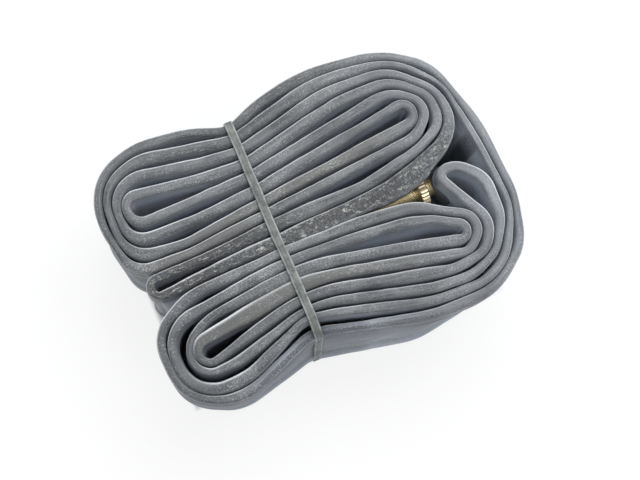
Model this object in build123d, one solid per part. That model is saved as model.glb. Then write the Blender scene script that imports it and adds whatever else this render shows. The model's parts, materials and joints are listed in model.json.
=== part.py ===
"""A bicycle inner tube, packed flat: one closed loop of butyl tube standing on edge.

The empty tube is pressed to a ribbon and wound back and forth in eighteen strands, which
a flat rubber band holds together at the waist. The threaded valve points along the gap
between two strands. Millimetres, +Z up, the bundle standing on the ribbon's lower edge.
"""

import os
from math import cos, pi, radians, sin, sqrt, tan

from build123d import *

# The ribbon: both walls of the empty tube pressed together, standing on one folded edge
RIBBON_HEIGHT = 45.0
WALL = 0.95

# The band across the waist, at X = 0 of the winding
BAND_WIDTH = 2.4
BAND_THICKNESS = 0.9
BAND_CORNER = 1.5
BAND_TOP = 45.4
BAND_UPPER_SIDE = 37.3
BAND_LOWER_SIDE = -35.9

# The winding, seen from above: corners X, Y and the rounding radius, in the order in which
# the loop runs. Each turn joins two of the strands, which are counted from the +Y side.
WINDING = [
    # strand 18 into the outermost turn of the near left lobe, and back as strand 11
    (-1.5, -33.4, 14), (-29, -42.2, 16), (-44.9, -34, 13.5), (-44.9, -12.6, 10),
    (-30, -6.4, 25), (0, -5.6, 30),
    # round the near right turn beside the valve, back as strand 14
    (18, -8.3, 30), (42, -8.9, 14), (56.6, -17.2, 4.5), (56.4, -22.2, 4), (51.15, -27.35, 4.5),
    (6, -16.2, 60),
    # innermost turn of the near left lobe, strands 14 and 15
    (-33.9, -21.5, 2.7), (-33.9, -27.7, 2.9), (1, -19.6, 40),
    # the fold that carries the valve: out as strand 15, back as strand 16
    (44, -30.15, 14), (56.2, -28.9, 6), (60.8, -21, 8), (57.1, -13.4, 20),
    (50.4, -0.1, 2.5), (58.6, -1.9, 6), (64.4, -8.0, 9), (64.3, -21.6, 10),
    (58.8, -29.8, 10), (49, -34.3, 16), (37, -33.2, 25), (2, -23.1, 30),
    # near left lobe, strands 16 and 13
    (-25, -30.5, 15), (-37, -31, 6.3), (-37.3, -19.5, 7.5), (-27.5, -14.7, 20),
    (3, -12.2, 60),
    # innermost turn at the near right, strands 13 and 12
    (53.0, -24.0, 2.7), (53.1, -18.6, 2.7), (46, -15.6, 12), (2, -8.8, 60),
    # near left lobe, strands 12 and 17
    (-41.7, -13.0, 10.5), (-41.7, -36.0, 11.3), (-23.5, -35.9, 25), (-2.0, -26.6, 10),
    # the long way round the right end, strands 17 and 2
    (34, -36.8, 50), (57.8, -37.5, 15), (68.2, -20, 16), (64.4, 23.0, 12),
    (53.9, 36.0, 18), (30.4, 38.6, 40), (-1, 31.3, 20),
    # far left lobe, strands 2 and 7
    (-30, 36.6, 14), (-42.5, 32.7, 10.5), (-43.0, 9.4, 9), (-24, 7.8, 30), (0, 10.4, 60),
    # innermost turn of the far right lobe, strands 7 and 6
    (52.9, 16.0, 2.8), (53.2, 22.6, 2.9), (0, 14.4, 60),
    # far left lobe, strands 6 and 3
    (-20, 13.2, 40), (-40.4, 13.6, 6.5), (-40.4, 33.9, 9), (-13, 28.6, 30), (0, 27.2, 30),
    # outer turn of the far right lobe, which passes the valve as strand 10
    (30, 34.2, 50), (50.4, 34.0, 16), (62.7, 22.4, 11), (62.8, 13.8, 9), (58.7, 7.6, 13),
    (47.5, 4.6, 12), (36, 1.6, 20), (14, -0.2, 30), (0, -2.0, 40),
    # the single turn between the two left lobes, strands 10 and 9
    (-40.8, -3.9, 2.75), (-40.8, 1.7, 2.65), (-18, 2.1, 60), (0, 3.2, 60),
    # far right lobe, strands 9 and 4
    (30, 3.4, 40), (49, 6.8, 25), (59.8, 11.9, 6.5), (60.3, 21.5, 7.5), (50.9, 30.5, 13),
    (34.5, 30.4, 35), (0, 23, 40),
    # innermost turn of the far left lobe, strands 4 and 5
    (-13, 23.8, 30), (-37.6, 27.6, 3.5), (-37.6, 18.6, 4.5), (0, 19.0, 40),
    # far right lobe, strands 5 and 8
    (49.1, 27.3, 10), (56.4, 21.5, 4.8), (56.3, 16.7, 4.5), (50.8, 11.0, 9), (0, 6.8, 60),
    # outermost turn of the far left lobe, strands 8 and 1
    (-25, 4.7, 25), (-43.8, 5.0, 7.5), (-46.4, 26.5, 20), (-41.3, 37.4, 14),
    (-29.4, 41.2, 25), (-12, 39.3, 30), (-0.5, 34.2, 10),
    # outermost of all round the right end, strand 1 back to strand 18
    (9.5, 38.8, 30), (28, 42.4, 60), (51.6, 39.1, 30), (64.3, 30.0, 16),
    (70.1, 8, 50), (71.0, -16, 22), (66.7, -31, 14), (53.5, -41.2, 24), (33, -42.3, 50),
]

# The fold that the valve stands on, and the rubber patch round the valve's foot
VALVE_FOLD_CORNER = 19
PATCH_LOW = 27.0
PATCH_HIGH = 40.0
PATCH_THICKNESS = 0.8
PATCH_REACH = 5.5
PATCH_CORNER = 3.5

# The valve: places along its axis count from the tube's surface outwards
VALVE_HEIGHT = 33.5
VALVE_TURN = 181.3
VALVE_OFFSET = 0.75
STEM_FOOT = -2.0
STEM_RADIUS = 3.0
STEM_THREAD_END = 22.0
NECK_RADIUS = 2.6
NECK_END = 28.0
STEM_BORE = 1.5
CORE_BORE = 1.95
CORE_RADIUS = 1.9
CORE_START = 19.0
CORE_HEAD_RADIUS = 2.2
CORE_HEAD_END = 30.2
CORE_FLATS = 3.4
EDGE = 0.35

# The plunger in the core, with its knurled lock nut backed off
PIN_RADIUS = 0.75
PIN_END = 35.8
PEEN_RADIUS = 1.0
PEEN_LENGTH = 0.5
GASKET_RADIUS = 1.25
GASKET_LENGTH = 2.0
TIP_NUT_START = 31.9
TIP_NUT_COLLAR = 1.2
TIP_NUT_END = 35.2
TIP_NUT_RADIUS = 2.35
TIP_NUT_TEETH = 12

# The knurled ring nut, run down to the foot of the stem
RING_NUT_RADIUS = 5.5
RING_NUT_START = 2.9
RING_NUT_END = 5.5
RING_NUT_TEETH = 30
KNURL_DEPTH = 0.3
RUNNING_CLEARANCE = 0.06


def loop_path():
    """The ribbon's closed middle line."""
    corners = [(x, y) for x, y, _ in WINDING]
    return FilletPolyline(*corners, radius=[r for _, _, r in WINDING], close=True)


def across(start, heading):
    """The upright plane across the ribbon: X to the left of its heading, Y up."""
    return Plane(origin=start, x_dir=Vector(0, 0, 1).cross(heading), z_dir=heading)


def swept(path, inner, outer, low, high):
    """An upright strip along a path, between two distances to its left and two heights."""
    outline = Pos((inner + outer) / 2, (low + high) / 2) * Rectangle(outer - inner, high - low)
    return sweep(across(path @ 0, path % 0) * outline, path=path)


def valve_fold():
    """The fold under the valve: its path along both legs, and the middle of its bend."""
    before, corner, after = (Vector(x, y) for x, y, _ in WINDING[VALVE_FOLD_CORNER - 1:][:3])
    radius = WINDING[VALVE_FOLD_CORNER][2]
    back = (before - corner).normalized()
    onward = (after - corner).normalized()
    half_angle = radians(back.get_angle(onward)) / 2
    leg = radius / tan(half_angle) + PATCH_REACH
    path = FilletPolyline(corner + back * leg, corner, corner + onward * leg, radius=radius)
    return path, corner + (back + onward).normalized() * (radius / sin(half_angle))


def valve_plane(middle):
    """The valve's own frame: Z outwards along its axis, from the tube's surface."""
    axis = Vector(cos(radians(VALVE_TURN)), sin(radians(VALVE_TURN)))
    aside = axis.cross(Vector(0, 0, 1))
    surface = sqrt((WINDING[VALVE_FOLD_CORNER][2] + WALL) ** 2 - VALVE_OFFSET ** 2)
    origin = middle + aside * VALVE_OFFSET + axis * surface + Vector(0, 0, VALVE_HEIGHT)
    return Plane(origin=origin, x_dir=aside, z_dir=axis)


def turned(*outline):
    """A turned piece round Z from its outline of radius and height."""
    return revolve(Plane.XZ * make_face(Polyline(*outline, close=True)), Axis.Z)


def knurled(radius, low, high, teeth):
    """A knurled disc round Z with bevelled rims."""
    step = pi / teeth
    points = []
    for tooth in range(2 * teeth):
        reach = radius - KNURL_DEPTH * (tooth % 2)
        points.append((reach * cos(tooth * step), reach * sin(tooth * step)))
    disc = Pos(0, 0, low) * extrude(make_face(Polyline(*points, close=True)), high - low)
    bevel = turned(
        (0, low), (radius - EDGE, low), (radius, low + EDGE),
        (radius, high - EDGE), (radius - EDGE, high), (0, high),
    )
    return disc & bevel


def patch(path, valve):
    """The moulded patch that wraps the fold, with the hole that the stem's foot fills."""
    strip = swept(path, WALL, WALL + PATCH_THICKNESS, PATCH_LOW, PATCH_HIGH)
    corners = []
    for edge in strip.edges().filter_by(GeomType.LINE):
        place = edge @ 0.5
        end_gap = min(Vector(place.X - end.X, place.Y - end.Y).length for end in (path @ 0, path @ 1))
        if edge.length < 2 * PATCH_THICKNESS and end_gap < PATCH_REACH / 2:
            corners.append(edge)
    strip = fillet(corners, PATCH_CORNER)
    return strip - valve * Cylinder(STEM_RADIUS, 2 * NECK_END)


def stem(path, valve):
    """The brass stem: thread, smooth neck and bore, its foot cut to the fold's outer face."""
    body = turned(
        (STEM_BORE, STEM_FOOT), (STEM_RADIUS, STEM_FOOT), (STEM_RADIUS, STEM_THREAD_END - EDGE),
        (NECK_RADIUS, STEM_THREAD_END), (NECK_RADIUS, NECK_END - EDGE), (NECK_RADIUS - EDGE, NECK_END),
        (CORE_BORE, NECK_END), (CORE_BORE, CORE_START), (STEM_BORE, CORE_START),
    )
    return valve * body - swept(path, STEM_FOOT, WALL, 0, RIBBON_HEIGHT)


def core():
    """The core: a sleeve down the stem's neck under a head with two spanner flats."""
    bore = PIN_RADIUS + RUNNING_CLEARANCE
    body = turned(
        (bore, CORE_START), (CORE_RADIUS, CORE_START), (CORE_RADIUS, NECK_END),
        (CORE_HEAD_RADIUS, NECK_END), (CORE_HEAD_RADIUS, CORE_HEAD_END - EDGE),
        (CORE_HEAD_RADIUS - EDGE, CORE_HEAD_END), (bore, CORE_HEAD_END),
    )
    head = CORE_HEAD_END - NECK_END
    flat = CORE_HEAD_RADIUS
    for side in (1, -1):
        away = side * (CORE_FLATS + flat) / 2
        body -= Pos(away, 0, NECK_END + head / 2) * Box(flat, 2 * flat, head)
    return body


def plunger():
    """The plunger: a rod with a foot under the gasket and a tip peened over its nut."""
    foot = CORE_START - GASKET_LENGTH
    return turned(
        (0, foot - PEEN_LENGTH), (PEEN_RADIUS, foot - PEEN_LENGTH), (PEEN_RADIUS, foot),
        (PIN_RADIUS, foot), (PIN_RADIUS, PIN_END - PEEN_LENGTH), (PEEN_RADIUS, PIN_END - PEEN_LENGTH),
        (PIN_RADIUS, PIN_END), (0, PIN_END),
    )


def gasket():
    """The rubber seal under the core."""
    foot = CORE_START - GASKET_LENGTH
    return turned(
        (PIN_RADIUS, foot), (GASKET_RADIUS, foot), (GASKET_RADIUS, CORE_START), (PIN_RADIUS, CORE_START),
    )


def tip_nut():
    """The small lock nut: a plain collar below a knurled grip."""
    bore = PIN_RADIUS + RUNNING_CLEARANCE
    grip = TIP_NUT_START + TIP_NUT_COLLAR
    collar = TIP_NUT_RADIUS - KNURL_DEPTH - EDGE
    nut = knurled(TIP_NUT_RADIUS, grip, TIP_NUT_END, TIP_NUT_TEETH)
    nut += turned((0, TIP_NUT_START), (collar, TIP_NUT_START), (collar, grip), (0, grip))
    return nut - Pos(0, 0, grip) * Cylinder(bore, 4 * TIP_NUT_COLLAR)


def ring_nut():
    """The knurled ring nut that draws the stem up to the rim."""
    middle = (RING_NUT_START + RING_NUT_END) / 2
    disc = knurled(RING_NUT_RADIUS, RING_NUT_START, RING_NUT_END, RING_NUT_TEETH)
    return disc - Pos(0, 0, middle) * Cylinder(STEM_RADIUS + RUNNING_CLEARANCE, 2 * RING_NUT_RADIUS)


def band():
    """The flat rubber band: one upright loop round the waist."""
    width = BAND_UPPER_SIDE - BAND_LOWER_SIDE
    middle = Pos((BAND_UPPER_SIDE + BAND_LOWER_SIDE) / 2, BAND_TOP / 2)
    inner = 2 * BAND_THICKNESS
    loop = middle * RectangleRounded(width, BAND_TOP, BAND_CORNER)
    loop -= middle * RectangleRounded(width - inner, BAND_TOP - inner, BAND_CORNER - BAND_THICKNESS)
    return extrude(Plane.YZ * loop, BAND_WIDTH / 2, both=True)


if __name__ == "__main__":
    os.makedirs("parts", exist_ok=True)
    fold, fold_middle = valve_fold()
    valve = valve_plane(fold_middle)
    wrap = band()
    nodes = {
        "inner_tube": swept(loop_path(), -WALL, WALL, 0, RIBBON_HEIGHT) - wrap,
        "valve_patch": patch(fold, valve),
        "valve_stem": stem(fold, valve),
        "ring_nut": valve * ring_nut(),
        "valve_core": valve * core(),
        "core_pin": valve * plunger(),
        "pin_gasket": valve * gasket(),
        "tip_nut": valve * tip_nut(),
        "rubber_band": wrap,
    }
    middle = nodes["inner_tube"].bounding_box().center()
    stand = Pos(-middle.X, -middle.Y, 0)
    print("tube length", round(loop_path().length, 1), "shift", stand.position)
    print("valve from", (stand * Pos(valve.origin)).position, "along", valve.z_dir)
    for name, solid in nodes.items():
        export_step(stand * solid, f"parts/{name}.step")
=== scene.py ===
"""A bicycle inner tube in its bundle: butyl ribbon, valve and rubber band, on a pale table."""

import json
import math

import bmesh
import bpy
import numpy as np
from mathutils import Matrix, Vector, noise


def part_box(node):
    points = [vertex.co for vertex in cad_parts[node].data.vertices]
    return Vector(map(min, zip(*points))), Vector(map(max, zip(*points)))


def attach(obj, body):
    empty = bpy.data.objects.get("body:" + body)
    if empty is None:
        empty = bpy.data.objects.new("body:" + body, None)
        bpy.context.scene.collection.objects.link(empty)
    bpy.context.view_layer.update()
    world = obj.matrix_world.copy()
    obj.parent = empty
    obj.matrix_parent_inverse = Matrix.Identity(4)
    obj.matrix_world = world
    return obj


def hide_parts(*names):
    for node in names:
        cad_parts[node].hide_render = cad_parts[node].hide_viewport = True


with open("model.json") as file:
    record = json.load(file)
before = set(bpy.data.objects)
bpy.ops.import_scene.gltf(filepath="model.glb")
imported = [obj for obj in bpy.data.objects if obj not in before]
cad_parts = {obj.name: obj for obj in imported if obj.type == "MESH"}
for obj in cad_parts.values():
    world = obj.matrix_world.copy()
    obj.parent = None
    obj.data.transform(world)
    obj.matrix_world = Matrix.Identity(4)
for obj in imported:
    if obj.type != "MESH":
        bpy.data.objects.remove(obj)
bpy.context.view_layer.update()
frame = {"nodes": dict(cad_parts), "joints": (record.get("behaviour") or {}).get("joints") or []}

MM = 0.001

# ---------------------------------------------------------------- the winding, as in the solids

# Lengths here and in the tables below are in millimetres
RIBBON_HEIGHT = 45.0
HALF_FLAT = 0.95
# The line that the ribbon's middle follows: X, Y and the bend's radius at each corner
WINDING = [
    (-1.5, -33.4, 14), (-29, -42.2, 16), (-44.9, -34, 13.5), (-44.9, -12.6, 10),
    (-30, -6.4, 25), (0, -5.6, 30),
    (18, -8.3, 30), (42, -8.9, 14), (56.6, -17.2, 4.5), (56.4, -22.2, 4), (51.15, -27.35, 4.5),
    (6, -16.2, 60),
    (-33.9, -21.5, 2.7), (-33.9, -27.7, 2.9), (1, -19.6, 40),
    (44, -30.15, 14), (56.2, -28.9, 6), (60.8, -21, 8), (57.1, -13.4, 20),
    (50.4, -0.1, 2.5), (58.6, -1.9, 6), (64.4, -8.0, 9), (64.3, -21.6, 10),
    (58.8, -29.8, 10), (49, -34.3, 16), (37, -33.2, 25), (2, -23.1, 30),
    (-25, -30.5, 15), (-37, -31, 6.3), (-37.3, -19.5, 7.5), (-27.5, -14.7, 20),
    (3, -12.2, 60),
    (53.0, -24.0, 2.7), (53.1, -18.6, 2.7), (46, -15.6, 12), (2, -8.8, 60),
    (-41.7, -13.0, 10.5), (-41.7, -36.0, 11.3), (-23.5, -35.9, 25), (-2.0, -26.6, 10),
    (34, -36.8, 50), (57.8, -37.5, 15), (68.2, -20, 16), (64.4, 23.0, 12),
    (53.9, 36.0, 18), (30.4, 38.6, 40), (-1, 31.3, 20),
    (-30, 36.6, 14), (-42.5, 32.7, 10.5), (-43.0, 9.4, 9), (-24, 7.8, 30), (0, 10.4, 60),
    (52.9, 16.0, 2.8), (53.2, 22.6, 2.9), (0, 14.4, 60),
    (-20, 13.2, 40), (-40.4, 13.6, 6.5), (-40.4, 33.9, 9), (-13, 28.6, 30), (0, 27.2, 30),
    (30, 34.2, 50), (50.4, 34.0, 16), (62.7, 22.4, 11), (62.8, 13.8, 9), (58.7, 7.6, 13),
    (47.5, 4.6, 12), (36, 1.6, 20), (14, -0.2, 30), (0, -2.0, 40),
    (-40.8, -3.9, 2.75), (-40.8, 1.7, 2.65), (-18, 2.1, 60), (0, 3.2, 60),
    (30, 3.4, 40), (49, 6.8, 25), (59.8, 11.9, 6.5), (60.3, 21.5, 7.5), (50.9, 30.5, 13),
    (34.5, 30.4, 35), (0, 23, 40),
    (-13, 23.8, 30), (-37.6, 27.6, 3.5), (-37.6, 18.6, 4.5), (0, 19.0, 40),
    (49.1, 27.3, 10), (56.4, 21.5, 4.8), (56.3, 16.7, 4.5), (50.8, 11.0, 9), (0, 6.8, 60),
    (-25, 4.7, 25), (-43.8, 5.0, 7.5), (-46.4, 26.5, 20), (-41.3, 37.4, 14),
    (-29.4, 41.2, 25), (-12, 39.3, 30), (-0.5, 34.2, 10),
    (9.5, 38.8, 30), (28, 42.4, 60), (51.6, 39.1, 30), (64.3, 30.0, 16),
    (70.1, 8, 50), (71.0, -16, 22), (66.7, -31, 14), (53.5, -41.2, 24), (33, -42.3, 50),
]

# A place in the winding is a corner's number at the middle of its bend, and the number with .5 added
# halfway to the next corner. Where the upper folds lean off the walls below them: place, how many corners
# round it, and the lean in X and Y
FOLD_LEANS = (
    (65.6, 1.5, 0.3, -1.5), (68.0, 0.6, 0.0, -0.3),
    (6.1, 0.45, 0.0, 2.5), (6.7, 0.25, 0.0, 0.9), (34.4, 0.5, 0.0, 2.1), (31.5, 0.3, 0.0, 1.3),
    (19.5, 0.8, 0.3, -0.4), (42.5, 0.6, 0.9, 0.2),
)
# Where a whole wall slopes: corner number, and the shift of its top or of its foot in X and Y
TOP_SLANT = {
    0: (0.0, 3.4), 1: (1.0, 1.5), 2: (1.6, 0.6), 3: (1.2, -0.8), 103: (0.0, 0.3), 104: (0.0, 1.8),
    39: (0.0, 0.8), 40: (0.0, 0.6), 69: (0.8, 0.0), 70: (0.8, 0.0),
    90: (0.9, 0.0), 91: (0.1, -0.4), 92: (0.9, -0.9), 93: (0.0, -0.5), 94: (0.0, -0.4),
}
FOOT_SLANT = {
    0: (0.0, -0.8), 1: (1.0, 1.5), 2: (0.6, 0.4), 3: (1.0, -0.6),
    102: (0.0, 0.4), 103: (-0.4, 2.0), 104: (0.0, 0.7),
    69: (0.8, 0.0), 70: (0.8, 0.0), 90: (0.9, 0.0),
}
# Where a strand has slipped down below its neighbours: place, how many corners round it, and the drop
SLIPS = ((0.1, 0.7, 4.6),)
# Where the air left inside swells a strand, or its lack narrows it: first and last place, how far, and
# on which side (0 left, 1 right)
SWELLING = (
    (63.9, 67.6, 2.6, 0), (64.9, 66.0, 1.5, 0), (5.2, 6.8, 0.7, 0), (36.4, 38.2, 0.8, 0),
    (19.6, 22.0, 0.5, 0), (67.9, 68.62, 1.1, 1), (70.75, 72.6, 0.9, 1), (11.1, 12.0, 1.7, 1),
    (11.7, 13.4, -0.9, 0), (26.9, 29.2, -1.2, 0), (42.0, 43.9, -0.8, 0), (38.7, 39.6, -0.9, 1),
)
# Stretches of the winding: first and last place, and how strongly they are marked
OUTERMOST = ((90.6, 106.0, 1.0), (-1.0, 3.4, 1.0))
GATHERED = ((103.4, 106.0, 1.0), (-1.0, 0.5, 1.0))
WRINKLED = ((63.4, 72.3, 1.0), (45.5, 47.2, 0.4), (93.5, 97.2, 0.4))
OLIVE_TINTED = ((88.4, 89.8, 1.0), (50.2, 51.7, 1.0), (10.5, 12, 1.0))
RIBBED = ((29.6, 32.2, 1.0),)
# The folds have all been pushed over, away from this point beside the bundle
PUSHED_FROM = np.array([-32.0, -50.0])

# ---------------------------------------------------------------- the ribbon's section

# Rings of points: the longest step between them, and the most that a bend turns, in radians
STATION = 1.25
BEND_STEP = 0.22
# A strand counts as a neighbour within this much ahead, when it is this much further along the ribbon
LEVEL_WITH = 0.9
OTHER_STRAND = 4.0
NO_NEIGHBOUR = 99.0
# Half the width of a fold that is hemmed in, that fills the room between near neighbours, and that has
# room to spare, the room from which that is so, and what a fold leaves at the crease and to its neighbour
LEAST_FOLD = 1.12
CLOSE_FOLD = 2.15
OPEN_FOLD = 1.6
SPARE_ROOM = 1.4 * CLOSE_FOLD
CREASE = 0.05
NEIGHBOUR_KEEPS = 1.0
# The folds: points round a crown, how boxy it is sideways and downwards, the drop from crest to shoulder,
# what pushing over adds to that and the share it takes off the width, and the depth of the full width
CROWN_POINTS = 8
CROWN_BREADTH = 0.75
CROWN_FLATNESS = 0.7
CROWN_DROP = 1.25
PUSHED_DROP = 1.1
PUSHED_SHARE = 0.26
BODY_DEPTH = 5.2
# Depths of the points down the wall from the crest, and heights of those up it from the foot
WALL_STEPS = (3.2, 4.2, 5.4, 7.0, 10.0, 14.0, 19.0)
LOW_STEPS = (19.0, 8.2, 6.8, 6.0, 4.6)
# A swelling dies away from the second of these depths to the first, and a narrowing in the same way
SWELLING_FADES = (6.2, 3.6)
NARROWING_FADES = (13.0, 4.0)
# The fold thins to the pressed walls between these depths
TAPER_FROM = 7.0
TAPER_DEPTH = 20.0
# The foot of an outer wall: the bulge of the lower fold and the crease above it
LOW_BULGE = 0.6
BULGE_HEIGHT = 3.4
LOW_GROOVE = 0.5
LOW_CREASE = 6.8
GROOVE_REACH = 0.8
# Room beside a wall from which it is an outer one, and for the outermost strand
OPEN_ROOM = (12.0, 17.0)
OUTERMOST_ROOM = (6.0, 8.0)
# How far the walls wave in and out, on every strand and on slack outer walls, and how far down
RIPPLE = 0.10
RIPPLE_DEPTH = 26.0
SLACK = 0.8
SLACK_DEPTH = 30.0
# Heights between which a lean comes in
LEAN_FROM = 33.0
LEAN_TO = 42.0
# Heights between which a wall comes to count as sheltered, as an outer wall and as deep down, and how
# much weaker the wrinkles are where it is sheltered
SHELTER = (44.3, 39.3)
OUTER_WALL = (44.3, 41.3)
DEEP = (39.0, 30.0)
SHELTER_HIDES = 0.85
# Where round the crown the painted highlight on the shoulder lies, as a share of its width
SHOULDER_AT = 0.90
SHOULDER_REACH = 0.11
# The crests' mean drop below the full height, and the band's hold: how far each side of itself it
# presses the folds and draws in the walls, and the heights it presses crest and foot to
CREST_DROP = 0.25
BAND_PRESSES = 2.6
BAND_DRAWS = 9.0
BAND_SEAT = 44.45
BAND_FOOT = 0.95
# The random walks along the strands: how rough, how much finer each layer is, and how many layers
WALK_ROUGHNESS = 0.6
WALK_FINER = 2.0
WALK_LAYERS = 2
# How many stations a corner, a lean, a width, a swelling, a gathering and a mark are smoothed over
CORNER_EASE = 0.8
LEAN_EASE = 4
WIDTH_EASE = 2.5
SWELL_EASE = 6
GATHER_EASE = 8
MARK_EASE = 5


def rounded(corners, counts=None):
    """Stations along a closed line of straight runs and round corners, with their place in the list."""
    n = len(corners)
    xy = np.array([(x, y) for x, y, _ in corners], float)
    bends = []
    for i, (_, _, radius) in enumerate(corners):
        into = xy[i] - xy[i - 1]
        out = xy[(i + 1) % n] - xy[i]
        into /= np.linalg.norm(into)
        out /= np.linalg.norm(out)
        turn = math.atan2(into[0] * out[1] - into[1] * out[0], float(into @ out))
        reach = radius * math.tan(abs(turn) / 2)
        side = np.array([-into[1], into[0]]) * math.copysign(radius, turn)
        bends.append((xy[i] - into * reach, xy[i] + out * reach, side, turn))
    made, points, place = [], [], []
    for i, (start, end, side, turn) in enumerate(bends):
        radius = corners[i][2]
        following = bends[(i + 1) % n][0]
        if counts is None:
            arc = max(3, math.ceil(abs(turn) * radius / STATION), math.ceil(abs(turn) / BEND_STEP))
            run = max(1, math.ceil(float(np.linalg.norm(following - end)) / STATION))
        else:
            arc, run = counts[i]
        made.append((arc, run))
        centre, arm = start + side, -side
        for k in range(arc):
            c, s = math.cos(turn * k / arc), math.sin(turn * k / arc)
            points.append(centre + np.array([arm[0] * c - arm[1] * s, arm[0] * s + arm[1] * c]))
            place.append(i - 0.25 + 0.5 * k / arc)
        for k in range(run):
            points.append(end + (following - end) * k / run)
            place.append(i + 0.25 + 0.5 * k / run)
    return np.array(points), np.array(place), made


def eased(values, reach):
    """A closed run of values, smoothed over a reach of stations."""
    k = np.arange(-int(3 * reach) - 1, int(3 * reach) + 2)
    weights = np.exp(-0.5 * (k / reach) ** 2)
    weights /= weights.sum()
    return sum(weight * np.roll(values, -int(step), axis=0) for step, weight in zip(k, weights))


def ramped(values, zero_at, one_at):
    """0 up to one value and 1 from another, straight between them."""
    return np.clip((values - zero_at) / (one_at - zero_at), 0, 1)


def run_along(points):
    """How far along a closed line each station lies, and the length of the whole line."""
    steps = np.linalg.norm(np.roll(points, -1, axis=0) - points, axis=1)
    return np.concatenate([[0], np.cumsum(steps)[:-1]]), steps.sum()


def headings(points):
    """Unit direction and left-hand normal at each station of a closed line."""
    along = np.roll(points, -1, axis=0) - np.roll(points, 1, axis=0)
    along /= np.linalg.norm(along, axis=1)[:, None]
    return along, np.stack([-along[:, 1], along[:, 0]], axis=1)


def room_beside(points):
    """Distance from each station to the next strand on its left and on its right."""
    along, left = headings(points)
    run, total = run_along(points)
    rooms = np.full((len(points), 2), NO_NEIGHBOUR)
    for i in range(len(points)):
        away = points - points[i]
        aside = away @ left[i]
        further = np.abs(run - run[i])
        further = np.minimum(further, total - further)
        near = (np.abs(away @ along[i]) < LEVEL_WITH) & (further > OTHER_STRAND)
        for side, sign in enumerate((1, -1)):
            picked = near & (aside * sign > 0)
            if picked.any():
                rooms[i, side] = np.abs(aside[picked]).min()
    return rooms


def wander(run, total, size, seed):
    """A smooth closed random walk along the loop, between about -1 and 1."""
    ring = total / (2 * math.pi * size)
    return np.array([
        noise.fractal(
            (ring * math.cos(a), ring * math.sin(a), seed), WALK_ROUGHNESS, WALK_FINER, WALK_LAYERS
        )
        for a in 2 * math.pi * run / total
    ])


def slanted(shifts):
    """The winding with some of its corners shifted."""
    moves = [shifts.get(i, (0, 0)) for i in range(len(WINDING))]
    return [(x + east, y + north, r) for (x, y, r), (east, north) in zip(WINDING, moves)]


def stretch(place, first, last, fade=0.6):
    """1 between two places in the winding and 0 elsewhere, with soft ends."""
    rise = np.clip((place - first) / fade + 0.5, 0, 1)
    fall = np.clip((last - place) / fade + 0.5, 0, 1)
    return rise * fall


def marked(place, stretches):
    return sum(strength * stretch(place, first, last) for first, last, strength in stretches)


def fold_widths(points, liveliness, seed):
    """How far the fold swells to each side at every station, and the room that its neighbours leave."""
    run, total = run_along(points)
    rooms = room_beside(points)
    air = 0.22 * wander(run, total, size=30.0, seed=seed)
    air += 0.07 * wander(run, total, size=7.0, seed=seed + 4.0)
    widths = np.interp(
        rooms / 2 - CREASE,
        (LEAST_FOLD, CLOSE_FOLD, SPARE_ROOM), (LEAST_FOLD, CLOSE_FOLD, OPEN_FOLD),
    )
    widths = eased(widths, WIDTH_EASE) * (1 + air * liveliness)[:, None]
    return np.minimum(widths, np.maximum(rooms - NEIGHBOUR_KEEPS, LEAST_FOLD)), rooms


def crest_line(tops, place):
    """The line of the upper folds, which lean off the tops of their walls here and there."""
    lean = np.zeros_like(tops)
    for centre, reach, east, north in FOLD_LEANS:
        lean += np.exp(-((place - centre) / reach) ** 2)[:, None] * (east, north)
    return tops + eased(lean, LEAN_EASE)


def crest_and_foot_heights(crests, place, run, total):
    """Height of the crest, up and down along the strands and pressed in by the band, and of the foot."""
    rise = 0.35 * wander(run, total, size=45.0, seed=7.7) + 0.14 * wander(run, total, size=8.0, seed=1.3)
    pressed = np.exp(-(crests[:, 0] / BAND_PRESSES) ** 2)
    top = (RIBBON_HEIGHT - CREST_DROP + rise) * (1 - pressed) + BAND_SEAT * pressed
    half_way = len(WINDING) / 2
    for centre, reach, drop in SLIPS:
        away = (place - centre + half_way) % len(WINDING) - half_way
        top = top - drop * np.exp(-(away / reach) ** 2)
    return top, BAND_FOOT * pressed


def pushed_over(crests, left):
    """How far each side of a fold faces the push, from 0 to 1."""
    outwards = crests - PUSHED_FROM
    outwards /= np.linalg.norm(outwards, axis=1)[:, None]
    facing = 0.5 - 0.5 * (left * outwards).sum(axis=1)
    return np.stack([facing, 1 - facing], axis=1)


def section_points():
    """Once round the section: fold, side, share of its width, share of the crown's drop, and depth."""
    crown = [
        (math.sin(a) ** CROWN_BREADTH, 1 - math.cos(a) ** CROWN_FLATNESS)
        for a in np.linspace(0, math.pi / 2, CROWN_POINTS + 1)[1:]
    ]
    order = [("top", 0, 0.0, 0.0, 0.0)]
    for side in (1, -1):
        part = [("top", side, share, drop, 0.0) for share, drop in crown]
        part += [("top", side, 1.0, 1.0, depth) for depth in WALL_STEPS]
        part += [("foot", side, 1.0, 1.0, depth) for depth in LOW_STEPS]
        part += [("foot", side, share, drop, 0.0) for share, drop in crown[::-2]]
        order += part if side > 0 else [("foot", 0, 0.0, 0.0, 0.0)] + part[::-1]
    return order


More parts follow.
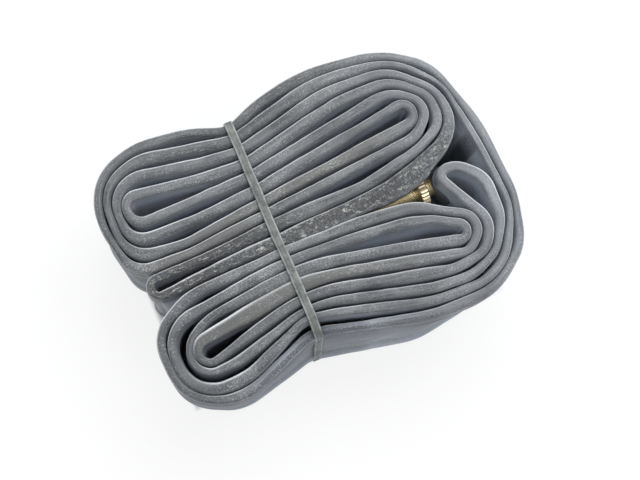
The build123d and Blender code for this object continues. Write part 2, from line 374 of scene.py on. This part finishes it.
def wound_ribbon():
    """The ribbon's points ring by ring, the length at each ring, and the marks that its finish reads."""
    _, place, counts = rounded(WINDING)
    tops = eased(rounded(slanted(TOP_SLANT), counts)[0], CORNER_EASE)
    feet = eased(rounded(slanted(FOOT_SLANT), counts)[0], CORNER_EASE)
    crests = crest_line(tops, place)
    _, left = headings(crests)
    run, total = run_along(crests)
    top, foot = crest_and_foot_heights(crests, place, run, total)
    facing = pushed_over(crests, left)
    widths, _ = fold_widths(crests, liveliness=1.0, seed=3.1)
    low_widths, low_rooms = fold_widths(feet, liveliness=0.5, seed=8.2)
    swollen = np.zeros_like(widths)
    for first, last, size, side in SWELLING:
        swollen[:, side] += size * eased(stretch(place, first, last), SWELL_EASE)

    outside = np.maximum(
        ramped(low_rooms, *OPEN_ROOM), marked(place, OUTERMOST)[:, None] * ramped(low_rooms, *OUTERMOST_ROOM)
    )
    slack = wander(run, total, size=18.0, seed=31.0) * (1 - np.exp(-(feet[:, 0] / BAND_DRAWS) ** 2))
    creased = np.clip(0.75 + 0.8 * wander(run, total, size=24.0, seed=44.0), 0.15, 1.3)
    creased = creased + 1.7 * eased(marked(place, GATHERED), GATHER_EASE)
    ripples = [RIPPLE * wander(run, total, size=13.0, seed=20.0 + k) for k in range(3)]

    order = section_points()
    verts = np.zeros((len(crests), len(order), 3))
    shoulder, sheltered, outer = (np.zeros(verts.shape[:2]) for _ in range(3))
    for j, (end, side, share, drop, depth) in enumerate(order):
        k = 0 if side >= 0 else 1
        upper = end == "top"
        pushed = facing[:, k] if upper else 0.5
        crown_drop = CROWN_DROP + PUSHED_DROP * pushed
        level = np.maximum(depth, drop * crown_drop)
        full = ramped(level, crown_drop, BODY_DEPTH)
        width = (widths if upper else low_widths)[:, k]
        width = width * (1 - PUSHED_SHARE * pushed * (1 - full * (2 - full)))
        if upper:
            fading = np.where(
                swollen[:, k] > 0, ramped(level, *SWELLING_FADES), ramped(level, *NARROWING_FADES)
            )
            width = width + swollen[:, k] * fading
        taper = ramped(level, TAPER_FROM, TAPER_DEPTH)
        width = (width + (HALF_FLAT - width) * taper * (2 - taper)) * share
        if not upper:
            bulge = np.sqrt(np.clip(1 - ((level - BULGE_HEIGHT) / (LOW_CREASE - BULGE_HEIGHT)) ** 2, 0, 1))
            groove = np.exp(-((level - LOW_CREASE) / GROOVE_REACH) ** 2)
            width = width + outside[:, k] * creased * (LOW_BULGE * bulge - LOW_GROOVE * groove)
        z = top - level if upper else foot + level
        tip = ramped(z, LEAN_FROM, LEAN_TO)
        tip = tip * tip * (3 - 2 * tip)
        middle = feet + (tops - feet) * (z / RIBBON_HEIGHT)[:, None] + (crests - tops) * tip[:, None]
        bow = ripples[j % 3] * np.sin(math.pi * np.minimum(1.0, level / RIPPLE_DEPTH)) * abs(side)
        bow = bow + SLACK * side * slack * outside[:, k] * math.sin(math.pi * min(1.0, depth / SLACK_DEPTH))
        verts[:, j, :2] = middle + left * (side * width + bow)[:, None]
        verts[:, j, 2] = z
        sheltered[:, j] = ramped(z, *SHELTER) * (1 - outside[:, k])
        outer[:, j] = ramped(z, *OUTER_WALL) * outside[:, k] * abs(side)
        # the shoulder mark: where the painted highlight goes, on the side turned away from the push
        if upper and depth == 0.0:
            shoulder[:, j] = (1 - pushed) ** 2 * math.exp(-((share - SHOULDER_AT) / SHOULDER_REACH) ** 2)

    wrinkled = np.clip(marked(place, WRINKLED), 0, 1)
    tinted = np.clip(marked(place, OLIVE_TINTED), 0, 1) * 0.5
    in_view = 1 - SHELTER_HIDES * sheltered
    marks = {
        "wrinkle": eased(wrinkled, MARK_EASE)[:, None] * in_view,
        "tint": eased(tinted, MARK_EASE)[:, None] * in_view,
        "ribs": eased(marked(place, RIBBED), MARK_EASE)[:, None] * in_view,
        "sheltered": sheltered, "outer": outer, "deep": ramped(verts[:, :, 2], *DEEP), "shoulder": shoulder,
    }
    return verts, np.append(run, total) * MM, marks


def girth_at(ring):
    """Distance round one ring of points, in metres, at each point and back at the first."""
    steps = np.linalg.norm(np.roll(ring, -1, axis=0) - ring, axis=1) * MM
    return np.concatenate([[0.0], np.cumsum(steps)])


def ring_surface(name, verts, length, girth):
    """A closed tube mesh from rings of points, with its length and girth as UV."""
    rings, around, _ = verts.shape
    ring, point = np.meshgrid(np.arange(rings), np.arange(around), indexing="ij")
    next_ring, next_point = (ring + 1) % rings, (point + 1) % around
    faces = np.stack([
        ring * around + point, ring * around + next_point,
        next_ring * around + next_point, next_ring * around + point,
    ], axis=-1)
    mesh = bpy.data.meshes.new(name)
    mesh.from_pydata((verts * MM).reshape(-1, 3).tolist(), [], faces.reshape(-1, 4).tolist())
    u = np.stack([length[:-1], length[:-1], length[1:], length[1:]], axis=1)[:, None, :]
    v = np.stack([girth[:-1], girth[1:], girth[1:], girth[:-1]], axis=1)[None, :, :]
    layer = mesh.uv_layers.new(name="girth")
    layer.data.foreach_set("uv", np.stack(np.broadcast_arrays(u, v), axis=-1).reshape(-1))
    mesh.shade_smooth()
    mesh.update()
    obj = bpy.data.objects.new(name, mesh)
    bpy.context.scene.collection.objects.link(obj)
    return obj


def mark(obj, name, values):
    """Give every point of a mesh a number for its finish to read."""
    layer = obj.data.attributes.new(name, "FLOAT", "POINT")
    layer.data.foreach_set("value", values.reshape(-1).astype(np.float32))


# ---------------------------------------------------------------- finishes


class Value:
    """A shader socket that takes part in ordinary arithmetic."""

    def __init__(self, finish, socket):
        self.finish, self.socket = finish, socket

    def maths(self, operation, *inputs):
        return self.finish.add("ShaderNodeMath", {"operation": operation}, dict(enumerate(inputs)))

    def __add__(self, other): return self.maths("ADD", self, other)
    def __radd__(self, other): return self.maths("ADD", other, self)
    def __sub__(self, other): return self.maths("SUBTRACT", self, other)
    def __rsub__(self, other): return self.maths("SUBTRACT", other, self)
    def __mul__(self, other): return self.maths("MULTIPLY", self, other)
    def __rmul__(self, other): return self.maths("MULTIPLY", other, self)

    def least(self, other):
        return self.maths("MINIMUM", self, other)

    def most(self, other):
        return self.maths("MAXIMUM", self, other)

    def clamped(self, low=0.0, high=1.0):
        return self.most(low).least(high)

    def wave(self):
        return self.maths("SINE", self)

    def size(self):
        return self.maths("ABSOLUTE", self)


class Finish:
    """One material: a Principled shader and the nodes that feed it."""

    def __init__(self, name, **settings):
        self.material = bpy.data.materials.new(name)
        self.material.use_nodes = True
        self.tree = self.material.node_tree
        self.shader = self.tree.nodes["Principled BSDF"]
        for socket, value in settings.items():
            self.shader.inputs[socket.replace("_", " ")].default_value = value

    def add(self, kind, settings=None, inputs=None, output=0):
        """A node of a type, with its settings, then its sockets' values or links."""
        node = self.tree.nodes.new(kind)
        for key, value in (settings or {}).items():
            if key == "stops":
                ramp = node.color_ramp.elements
                for element, (place, shade) in zip(ramp, value):
                    element.position = place
                    element.color = (shade, shade, shade, 1)
            else:
                setattr(node, key, value)
        for key, value in (inputs or {}).items():
            if isinstance(value, Value):
                self.tree.links.new(value.socket, node.inputs[key])
            else:
                node.inputs[key].default_value = value
        return Value(self, node.outputs[output])

    def place(self):
        return self.add("ShaderNodeTexCoord", output="Object")

    def girth(self, along=1.0, around=1.0, turn=0.0):
        """Place on the ribbon, with patterns drawn out along it or around it, or turned."""
        uv = self.add("ShaderNodeUVMap", {"uv_map": "girth"})
        turned = self.add("ShaderNodeMapping", None, {0: uv, "Rotation": (0, 0, turn)})
        return self.add("ShaderNodeMapping", None, {0: turned, "Scale": (along, around, 1)})

    def parts(self, vector):
        """The X, Y and Z of a vector."""
        split = self.add("ShaderNodeSeparateXYZ", None, {0: vector})
        return [Value(self, socket) for socket in split.socket.node.outputs]

    def noise(self, scale, where, detail=3.0, roughness=0.5, twist=0.0):
        return self.add(
            "ShaderNodeTexNoise", None,
            {"Vector": where, "Scale": scale, "Detail": detail, "Roughness": roughness, "Distortion": twist},
        )

    def ramp(self, value, *stops):
        """A grey ramp between two stops, each its place and its shade."""
        return self.add("ShaderNodeValToRGB", {"stops": stops}, {0: value})

    def blend(self, factor, first, second):
        """A mix of two colours, each a value or plain red, green and blue."""
        first, second = (c if isinstance(c, Value) else (*c, 1.0) for c in (first, second))
        return self.add(
            "ShaderNodeMix", {"data_type": "RGBA"}, {0: factor, 6: first, 7: second}, output=2
        )

    def attribute(self, name):
        return self.add("ShaderNodeAttribute", {"attribute_name": name}, output="Fac")

    def feed(self, socket, value):
        self.tree.links.new(value.socket, self.shader.inputs[socket])

    def bump(self, height, strength, distance):
        normal = self.add(
            "ShaderNodeBump", None, {"Height": height, "Strength": strength, "Distance": distance}
        )
        self.feed("Normal", normal)


# The butyl's tones, darker and lighter as it is drawn into streaks: its own on the crests; on walls between
# strands much paler and bluer, painted light that lifts their shade; and on the outer walls painted shade
# at the top giving way to painted light towards the foot
CREST_TONES = ((0.062, 0.067, 0.074), (0.195, 0.207, 0.218))
WALL_PAINTED_LIGHT_TONES = ((0.380, 0.422, 0.495), (0.520, 0.568, 0.645))
OUTER_PAINTED_SHADE_TONES = ((0.072, 0.084, 0.104), (0.128, 0.144, 0.170))
OUTER_PAINTED_LIGHT_TONES = ((0.215, 0.243, 0.288), (0.315, 0.346, 0.395))
# Paler still deep down between the strands, painted light against their shade; the table under the bundle
# takes it too
DEEP_PAINTED_LIGHT_TONE = (0.78, 0.81, 0.86)
# Painted shade over the lower left, and painted light at the far right end
LEFT_PAINTED_SHADE_TONE = (0.045, 0.050, 0.058)
RIGHT_PAINTED_LIGHT_TONE = (0.350, 0.385, 0.440)
OLIVE_TONE = (0.135, 0.134, 0.120)
SCUFF_TONE = (0.075, 0.08, 0.088)
TALC_TONE = (0.48, 0.49, 0.50)
# Painted shade in the wrinkles' creases
CREASE_SHADE_TONE = (0.040, 0.043, 0.047)
# Painted glints on the wrinkled stretch
PAINTED_GLINT_TONE = (0.50, 0.51, 0.46)
# Painted highlight along the shoulders
SHOULDER_HIGHLIGHT_TONE = (0.85, 0.88, 0.91)
# Painted sheen near the foot
PAINTED_SHEEN_TONE = (0.50, 0.55, 0.62)
# Painted shadow in the crease above the outer walls' foot
PINCH_SHADE_TONE = (0.05, 0.056, 0.068)
# The mould line is a real ridge, painted lighter as a highlight
MOULD_LINE_HIGHLIGHT_TONE = (0.62, 0.65, 0.68)
# Distances round the girth, in metres: of the mould line from the crest, of the painted sheen's upper edge
# and of the painted crease shadow (the pinch) from the middle of the foot, with half the width of line and
# pinch, and how sharply each ends
MOULD_LINE = 0.0021
HALF_MOULD_LINE = 0.00017
MOULD_LINE_EDGE = 9000.0
SHEEN_TOP = 0.0086
SHEEN_EDGE = 500.0
PINCH = 0.0094
HALF_PINCH = 0.0014
PINCH_EDGE = 900.0
# In metres too: the height over which painted shade on the outer walls gives way to painted light, where
# the painted shade at the lower left and the painted light at the far right begin, and how far their edges
# drift
SHADED_HEIGHT = 0.040
LEFT_SHADE_FROM = -0.020
RIGHT_LIGHT_FROM = 0.022
DRIFT = 0.03
RIB_WAVES = 5200.0


def butyl_finish(girth):
    """Satin butyl: drawn streaks, scuffs and talc specks, painted light and shade on the walls, painted
    highlights, sheen and glints, painted shade in creases, moulding lines and creased stretches.
    """
    f = Finish("butyl_rubber", Roughness=0.55, Specular_IOR_Level=0.4)
    spot = f.place()
    east, north, height = f.parts(spot)
    lengthwise, across, _ = f.parts(f.girth())
    wrinkle, sheltered, outer = (f.attribute(name) for name in ("wrinkle", "sheltered", "outer"))
    streak = f.noise(900.0, f.girth(along=0.05), detail=4.0, roughness=0.65)
    smear = f.noise(260.0, f.girth(along=0.3), detail=5.0, roughness=0.65)
    cloud = f.noise(70.0, spot, detail=4.0, roughness=0.6)
    grain = f.noise(2300.0, spot, detail=3.0, roughness=0.7)
    one_way = f.girth(along=0.45, around=1.1, turn=0.55)
    other_way = f.girth(along=0.40, around=1.1, turn=-0.45)
    creases = f.noise(1250.0, one_way, detail=4.0, roughness=0.62, twist=0.5)
    folds = f.noise(1400.0, other_way, detail=4.0, roughness=0.62, twist=0.5)
    dash = f.noise(1500.0, f.girth(along=0.28, turn=0.10), detail=4.0, roughness=0.65)

    # the rubber's own tones on the crests, painted light on the walls between strands, and painted shade and
    # light on the outer walls
    drawn = f.ramp(streak * 0.36 + smear * 0.34 + cloud * 0.16 + grain * 0.14, (0.42, 0.0), (0.57, 1.0))
    inner_wall_painted_light = f.blend(f.attribute("deep"), f.blend(drawn, *WALL_PAINTED_LIGHT_TONES), DEEP_PAINTED_LIGHT_TONE)
    crest_and_wall = f.blend(sheltered, f.blend(drawn, *CREST_TONES), inner_wall_painted_light)
    # painted shade at the top of the outer walls, giving way to painted light towards the foot
    shading = f.ramp(height * (1 / SHADED_HEIGHT), (0.12, 1.0), (0.85, 0.0))
    outer_wall = f.blend(shading, f.blend(drawn, *OUTER_PAINTED_SHADE_TONES), f.blend(drawn, *OUTER_PAINTED_LIGHT_TONES))
    rubber = f.blend(outer, crest_and_wall, outer_wall)

    # painted shade over the lower left of the bundle, painted light at the far right end, and some strands
    # more olive
    drift = (cloud - 0.5) * DRIFT
    left_shade = ((east + north - LEFT_SHADE_FROM + drift) * -40.0).clamped()
    right_light = ((east - RIGHT_LIGHT_FROM + drift) * 25.0).clamped()
    side_shaded = f.blend(right_light * 0.30, f.blend(left_shade * 0.30, rubber, LEFT_PAINTED_SHADE_TONE), RIGHT_PAINTED_LIGHT_TONE)
    olive = f.blend(f.attribute("tint"), side_shaded, OLIVE_TONE)

    # scuffs, talc, and the wrinkled stretch with painted shade in its creases and painted glints
    scuffs = f.ramp(smear * 0.5 + grain * 0.5, (0.50, 0.0), (0.60, 1.0))
    scuffed = f.blend(scuffs * (0.7 - sheltered * 0.6), olive, SCUFF_TONE)
    talc = f.ramp(grain * 0.75 + cloud * 0.25, (0.54, 0.0), (0.64, 1.0))
    dusted = f.blend(talc * 0.6, scuffed, TALC_TONE)
    hollow = f.ramp((creases - 0.48).size(), (0.01, 1.0), (0.06, 0.0))
    furrow = f.ramp((folds - 0.46).size(), (0.01, 1.0), (0.06, 0.0))
    # painted shade along the creases' lines, and a darker tone over the whole wrinkled stretch
    creased = f.blend((hollow + furrow + 0.15).clamped() * wrinkle * 0.85, dusted, CREASE_SHADE_TONE)
    dashes = f.ramp(dash * 0.7 + grain * 0.3, (0.54, 0.0), (0.61, 1.0))
    # painted glints: lengthwise dashes of light on the wrinkled stretch
    painted_glint = dashes * f.ramp(smear, (0.40, 0.3), (0.54, 1.0))
    sparkling = f.blend(painted_glint * wrinkle * 0.85, creased, PAINTED_GLINT_TONE)

    # painted highlights on the shoulders, painted sheen and painted crease shadow (the pinch) near the foot,
    # and the mould line beside the crest, a real ridge painted lighter as a highlight
    painted_highlight = f.attribute("shoulder") * f.ramp(smear * 0.6 + grain * 0.4, (0.36, 0.5), (0.56, 1.0))
    edged = f.blend(painted_highlight, sparkling, SHOULDER_HIGHLIGHT_TONE)
    from_foot = (across - girth / 2).size()
    # painted sheen: lighter colour near the foot, where floor light would fall
    low = ((SHEEN_TOP - from_foot) * SHEEN_EDGE).clamped()
    painted_sheen = low * f.ramp(smear * 0.6 + cloud * 0.4, (0.40, 0.35), (0.60, 1.0))
    footed = f.blend(painted_sheen * 0.36, edged, PAINTED_SHEEN_TONE)
    # painted crease shadow on the outer walls above the foot
    pinch_shade = ((HALF_PINCH - (from_foot - PINCH).size()) * PINCH_EDGE).clamped()
    pinch_shaded = f.blend(pinch_shade * outer * f.ramp(cloud, (0.36, 0.2), (0.58, 1.0)) * 0.6, footed, PINCH_SHADE_TONE)
    # the mould line: a real ridge in the bump, painted lighter as a highlight
    from_line = (across - MOULD_LINE).size().least((across - (girth - MOULD_LINE)).size())
    on_line = ((HALF_MOULD_LINE - from_line) * MOULD_LINE_EDGE).clamped()
    line = on_line * f.ramp(cloud * 0.5 + smear * 0.5, (0.42, 0.0), (0.56, 1.0))
    f.feed("Base Color", f.blend(line * 0.55, pinch_shaded, MOULD_LINE_HIGHLIGHT_TONE))

    rough = 0.58 - wrinkle * 0.24 + (smear - 0.5) * 0.35 - line * 0.2
    f.feed("Roughness", rough.clamped(0.24, 0.85))
    rib = ((lengthwise * RIB_WAVES).wave() * 0.5 + 0.5) * f.attribute("ribs")
    skin = grain * 0.12 + streak * 0.40 + smear * 0.35
    relief = skin + (creases + folds) * wrinkle * 3.4 + rib * 0.5 + line * 0.35
    f.bump(relief, strength=0.55, distance=0.00035)
    return f.material


def brass_finish(name, tone, roughness):
    """Bright turned brass with fine turning lines and a little tarnish in patches."""
    f = Finish(name, Metallic=1.0, Roughness=roughness)
    spot = f.place()
    lines = f.noise(900.0, f.add("ShaderNodeMapping", None, {0: spot, "Scale": (9.0, 1.0, 1.0)}), detail=2.0)
    stain = f.noise(260.0, spot, detail=4.0, roughness=0.6)
    tarnished = tuple(c * 0.84 for c in tone)
    f.feed("Base Color", f.blend(f.ramp(stain, (0.40, 0.0), (0.72, 1.0)), tone, tarnished))
    f.feed("Roughness", (roughness + stain * 0.18 + lines * 0.08).clamped(0.1, 0.8))
    f.bump(lines, strength=0.2, distance=0.00008)
    return f.material


def moulded_rubber_finish():
    """The patch's and the gasket's rubber, with a fine grain."""
    f = Finish("moulded_rubber", Roughness=0.7, Specular_IOR_Level=0.35)
    spot = f.place()
    dark = (0.120, 0.130, 0.148)
    light = tuple(c * 1.7 for c in dark)
    grain = f.noise(1800.0, spot, detail=3.0, roughness=0.6)
    cloud = f.noise(140.0, spot, detail=3.0, roughness=0.5)
    f.feed("Base Color", f.blend(f.ramp(cloud * 0.6 + grain * 0.4, (0.35, 0.0), (0.68, 1.0)), dark, light))
    f.feed("Roughness", (0.62 + grain * 0.2).clamped(0.3, 0.95))
    f.bump(grain, strength=0.35, distance=0.00012)
    return f.material


def band_finish():
    """Grey-green strip rubber: mottled, paler along both edges, and with fine lengthwise streaks."""
    f = Finish("band_rubber", Roughness=0.62, Specular_IOR_Level=0.4)
    grain = f.noise(1500.0, f.place(), detail=4.0, roughness=0.65)
    cloud = f.noise(330.0, f.place(), detail=3.0, roughness=0.6)
    streak = f.noise(1500.0, f.girth(along=0.12), detail=3.0, roughness=0.6)
    mottle = f.ramp(cloud * 0.5 + streak * 0.3 + grain * 0.2, (0.40, 0.0), (0.60, 1.0))
    strip = f.blend(mottle, (0.075, 0.083, 0.081), (0.205, 0.222, 0.212))
    paler_edge = f.ramp(f.attribute("rim"), (0.62, 0.0), (0.90, 1.0)) * f.ramp(cloud, (0.36, 0.35), (0.56, 1.0))
    f.feed("Base Color", f.blend(paler_edge * 0.75, strip, (0.36, 0.39, 0.38)))
    f.feed("Roughness", (0.55 + grain * 0.2).clamped(0.3, 0.95))
    f.bump(grain * 0.6 + streak * 0.4, strength=0.4, distance=0.00015)
    return f.material


def finish_with(obj, material):
    obj.data.materials.clear()
    obj.data.materials.append(material)


# ---------------------------------------------------------------- the ribbon


def make_tube():
    """The wound tube, set where its solid stands."""
    verts, lengths, marks = wound_ribbon()
    low, high = (np.array(corner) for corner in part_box("inner_tube"))
    outline = rounded(WINDING)[0]
    verts[:, :, :2] += (low + high)[:2] / 2 / MM - (outline.min(axis=0) + outline.max(axis=0)) / 2
    girth = girth_at(verts[0])
    tube = ring_surface("wound_tube", verts, lengths, girth)
    for name, values in marks.items():
        mark(tube, name, values)
    finish_with(tube, butyl_finish(girth[-1]))
    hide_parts("inner_tube")
    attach(tube, "bundle")


# ---------------------------------------------------------------- the band


def make_band():
    """The cut rubber band, one closed strip with soft edges, taut over the folds and down the slope."""
    low, high = (np.array(corner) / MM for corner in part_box("rubber_band"))
    half_thick, edge, bend = 0.45, 0.14, 1.6
    half_width = 1.08 * (high[0] - low[0]) / 2
    # the loop seen from the end: Y, Z and the bend's radius, with the slope down to the near side first
    corners = [
        (low[1] + 9.4, high[2], 2.0), (low[1] + 3.1, high[2] - 5.0, 3.0), (low[1] - 1.5, low[2], bend),
        (high[1], low[2], bend), (high[1], high[2], bend),
    ]
    path = rounded(corners)[0]
    _, left = headings(path)
    path = path + left * half_thick
    run, total = run_along(path)
    profile = [
        (half_width - edge, -half_thick), (half_width, -half_thick + edge),
        (half_width, half_thick - edge), (half_width - edge, half_thick), (0.0, half_thick),
        (-half_width + edge, half_thick), (-half_width, half_thick - edge),
        (-half_width, -half_thick + edge), (-half_width + edge, -half_thick), (0.0, -half_thick),
    ]
    sway = 0.22 * wander(run, total, size=22.0, seed=5.5)
    breadth = 1 + 0.06 * wander(run, total, size=7.0, seed=9.1)
    verts = np.zeros((len(path), len(profile), 3))
    for j, (aside, out) in enumerate(profile):
        verts[:, j, 0] = (low[0] + high[0]) / 2 + aside * breadth + sway
        verts[:, j, 1:] = path - left * out
    verts[:, :, 2] = np.maximum(verts[:, :, 2], 0.0)
    band = ring_surface("waist_band", verts, np.append(run, total) * MM, girth_at(verts[0]))
    rim = [float(abs(aside) > half_width / 2) for aside, _ in profile]
    mark(band, "rim", np.tile(rim, len(path)))
    finish_with(band, band_finish())
    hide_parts("rubber_band")
    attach(band, "bundle")


# ---------------------------------------------------------------- the valve

# Along the stem from the tube's surface: the middle of the ring nut, the ends of the bar, the neck's end
RING_NUT_MIDDLE = 4.2 * MM
STEM_FOOT = -1.2 * MM
STEM_SHOULDER = 21.9 * MM
NECK_END = 28.0 * MM
BAR_RADIUS = 2.52 * MM
NECK_CHAMFER = 0.3 * MM
MOUTH_RIM = 0.35 * MM
MOUTH_DEPTH = 3.0 * MM
# The thread: its pitch, the radii of its crest, of the crest's edge and of its root, where it starts, and
# how many turns it has
PITCH = 0.8 * MM
THREAD_CREST = 3.0 * MM
THREAD_EDGE = 2.96 * MM
THREAD_ROOT = 2.45 * MM
THREAD_START = 0.5 * MM
THREAD_TURNS = 26
STEPS_A_TURN = 26


def valve_frame():
    """The valve's axis as a matrix in metres, its Z outwards and its zero at the tube's surface."""
    joint = next(j for j in frame["joints"] if j["name"] == "ring_nut_turn")
    axis = Vector(joint["axis"]).normalized()
    start = Vector(joint["pos_m"]) - axis * RING_NUT_MIDDLE
    return Matrix.Translation(start) @ axis.to_track_quat("Z", "Y").to_matrix().to_4x4()


def deselected():
    if bpy.context.mode != "OBJECT":
        bpy.ops.object.mode_set(mode="OBJECT")
    bpy.ops.object.select_all(action="DESELECT")


def picked(obj):
    """Select one object and nothing else."""
    deselected()
    obj.select_set(True)
    bpy.context.view_layer.objects.active = obj


def settle(obj):
    """Move an object's place into its mesh."""
    picked(obj)
    bpy.ops.object.transform_apply(location=True, rotation=True, scale=True)


def edit(obj):
    """Into edit mode on one object, with nothing selected."""
    picked(obj)
    bpy.ops.object.mode_set(mode="EDIT")
    bpy.ops.mesh.select_mode(type="FACE")
    bpy.ops.mesh.select_all(action="DESELECT")


def pick_top(obj):
    """Select the face that looks straight up at the top of a piece."""
    bpy.ops.mesh.select_all(action="DESELECT")
    shape = bmesh.from_edit_mesh(obj.data)
    highest = max(shape.faces, key=lambda face: (face.normal.z > 0.9, face.calc_center_median().z))
    highest.select = True
    shape.faces.active = highest
    bmesh.update_edit_mesh(obj.data)


def thread_on(stem):
    """The rolled thread: one closed tooth, screwed up the stem and capped at both ends."""
    outline = [
        (THREAD_ROOT, -0.36), (THREAD_EDGE, -0.08), (THREAD_CREST, -0.04),
        (THREAD_CREST, 0.04), (THREAD_EDGE, 0.08), (THREAD_ROOT, 0.36),
    ]  # radius, and place in the pitch
    deselected()
    bpy.ops.mesh.primitive_circle_add(vertices=len(outline), radius=PITCH / 2, location=(0, 0, 0))
    tooth = bpy.context.active_object
    tooth.name = "thread_tooth"
    for vert, (radius, share) in zip(tooth.data.vertices, outline):
        vert.co = (radius, 0, THREAD_START + share * PITCH)
    screw = tooth.modifiers.new("turns", "SCREW")
    screw.axis = "Z"
    screw.screw_offset = PITCH
    screw.iterations = THREAD_TURNS
    screw.steps = screw.render_steps = STEPS_A_TURN
    screw.use_merge_vertices = True
    bpy.ops.object.modifier_apply(modifier="turns")
    edit(tooth)
    bpy.ops.mesh.select_mode(type="EDGE")
    bpy.ops.mesh.select_non_manifold()
    bpy.ops.mesh.edge_face_add()
    bpy.ops.mesh.select_all(action="SELECT")
    bpy.ops.mesh.normals_make_consistent(inside=False)
    bpy.ops.object.mode_set(mode="OBJECT")
    tooth.select_set(True)
    stem.select_set(True)
    bpy.context.view_layer.objects.active = stem
    bpy.ops.object.join()


def make_stem(finish):
    """The stem: a round bar under the thread, then the smooth neck and the mouth of its bore."""
    deselected()
    bpy.ops.mesh.primitive_cylinder_add(
        vertices=56, radius=BAR_RADIUS, depth=STEM_SHOULDER - STEM_FOOT,
        location=(0, 0, (STEM_SHOULDER + STEM_FOOT) / 2),
    )
    stem = bpy.context.active_object
    stem.name = "threaded_stem"
    settle(stem)
    edit(stem)
    neck = NECK_END - STEM_SHOULDER - NECK_CHAMFER
    for grow, rise in ((1.03, 0.0), (1.0, neck), (0.9, NECK_CHAMFER)):
        pick_top(stem)
        bpy.ops.mesh.extrude_region_move(TRANSFORM_OT_translate={"value": (0, 0, rise)})
        bpy.ops.transform.resize(value=(grow, grow, 1), center_override=(0, 0, 0))
    pick_top(stem)
    bpy.ops.mesh.inset(thickness=MOUTH_RIM)
    bpy.ops.mesh.extrude_region_move(TRANSFORM_OT_translate={"value": (0, 0, -MOUTH_DEPTH)})
    bpy.ops.object.mode_set(mode="OBJECT")
    thread_on(stem)
    bpy.ops.object.shade_smooth_by_angle(angle=math.radians(32))
    stem.data.transform(valve_frame())
    stem.data.update()
    finish_with(stem, finish)
    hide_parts("valve_stem")
    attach(stem, "bundle")


def make_valve():
    bright = brass_finish("bright_brass", (0.99, 0.88, 0.60), roughness=0.34)
    pale = brass_finish("pale_brass", (0.92, 0.80, 0.56), roughness=0.30)
    moulded = moulded_rubber_finish()
    for node, finish in (
        ("ring_nut", pale), ("valve_core", bright), ("core_pin", bright), ("tip_nut", pale),
        ("valve_patch", moulded), ("pin_gasket", moulded),
    ):
        finish_with(frame["nodes"][node], finish)
    make_stem(bright)


# ---------------------------------------------------------------- table, light and camera

TABLE_TONE = (0.86, 0.87, 0.88)
WHITE = (1.0, 1.0, 1.0, 1.0)
# Half the length and breadth of the table under the bundle, how much wider it gets to the right, and
# how sharply it ends
UNDER_LENGTH = 0.054
UNDER_BREADTH = 0.035
WIDER_FROM = 0.005
WIDER_AT_MOST = 0.0045
UNDER_EDGE = 600.0


def table_finish():
    """A pale table that shows white, except deep inside the bundle, where walls round it shade it."""
    f = Finish("pale_table", Roughness=0.9)
    east, north, _ = f.parts(f.place())
    wider = ((east - WIDER_FROM) * 0.6).clamped(0.0, WIDER_AT_MOST)
    past_ends = (east.size() - UNDER_LENGTH) * UNDER_EDGE
    past_sides = (north.size() - UNDER_BREADTH - wider) * UNDER_EDGE
    open_table = past_ends.most(past_sides).clamped()
    # under the bundle the table takes the deep walls' painted light, a pale blue-grey, instead of the table's
    # tone
    f.feed("Base Color", f.blend(open_table, DEEP_PAINTED_LIGHT_TONE, TABLE_TONE))
    seen = f.add("ShaderNodeLightPath", output="Is Camera Ray")
    mirrored = f.add("ShaderNodeLightPath", output="Is Glossy Ray")
    backdrop = f.add("ShaderNodeEmission", None, {"Color": WHITE, "Strength": 1.0})
    shown = f.add("ShaderNodeMixShader", None, {
        0: (seen + mirrored).clamped() * open_table * 0.8, 1: Value(f, f.shader.outputs[0]), 2: backdrop,
    })
    f.tree.links.new(shown.socket, f.tree.nodes["Material Output"].inputs["Surface"])
    return f.material


def make_studio():
    deselected()
    bpy.ops.mesh.primitive_plane_add(size=6.0, location=(0, 0, -0.0002))
    table = bpy.context.active_object
    table.name = "table_top"
    settle(table)
    finish_with(table, table_finish())

    world = bpy.data.worlds.new("studio")
    bpy.context.scene.world = world
    world.use_nodes = True
    background = world.node_tree.nodes["Background"]
    background.inputs["Color"].default_value = WHITE
    background.inputs["Strength"].default_value = 0.84

    pane = bpy.data.lights.new("window", "AREA")
    pane.shape = "RECTANGLE"
    pane.size, pane.size_y = 1.0, 0.7
    pane.energy = 8.5
    window = bpy.data.objects.new("window", pane)
    bpy.context.scene.collection.objects.link(window)
    window.location = (0.42, 0.42, 0.95)
    aim = Vector((0, 0, 0.02)) - Vector(window.location)
    window.rotation_euler = aim.to_track_quat("-Z", "Y").to_euler()

    lens = bpy.data.cameras.new("camera")
    lens.sensor_width = 36.0
    lens.lens = 63.0
    lens.clip_start = 0.02
    camera = bpy.data.objects.new("camera", lens)
    bpy.context.scene.collection.objects.link(camera)
    camera.location = (-0.044018, -0.049565, 0.370)
    camera.rotation_euler = tuple(math.radians(a) for a in (9.8766, -3.8246, -23.7230))
    bpy.context.scene.camera = camera


make_tube()
make_band()
make_valve()
make_studio()
bpy.context.scene.view_settings.view_transform = "Standard"
